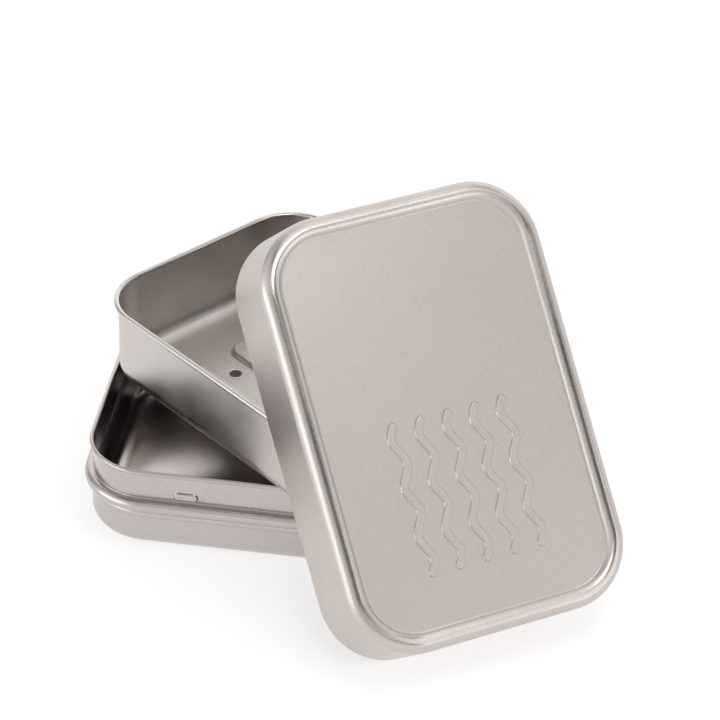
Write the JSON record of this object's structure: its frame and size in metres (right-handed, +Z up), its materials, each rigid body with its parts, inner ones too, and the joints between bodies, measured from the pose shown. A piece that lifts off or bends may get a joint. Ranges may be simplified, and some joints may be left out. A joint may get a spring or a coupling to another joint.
{
  "type": "soap tin with drain tray",
  "caption": "Rounded rectangular tinplate soap tin: a base with a rolled bead, a perforated drain tray laid across it and a lid leaning on the tray.",
  "frame": {"origin": "centre of the base's underside, on the floor", "axes": "+Z up, the base's long sides along X; the side with the leaning lid faces -Y"},
  "size_m": [0.1394, 0.137, 0.0944],
  "materials": {
    "tinplate_base": "bright satin tinplate",
    "tinplate_tray": "bright satin tinplate",
    "tinplate_lid": "fine-grained satin tinplate"
  },
  "bodies": {
    "base": {"tin_base": "tinplate_base"},
    "tray": {"drain_tray": "tinplate_tray"},
    "lid": {"lid": "tinplate_lid"}
  },
  "joints": [
    {"name": "tray_lifts_off", "type": "slide", "parent": "base", "child": "tray", "axis": [0, 0, 1], "range_m": [0, 0.08]},
    {"name": "lid_comes_away", "type": "slide", "parent": "tray", "child": "lid", "axis": [0.421, -0.6194, 0.6626], "range_m": [0, 0.12]}
  ]
}
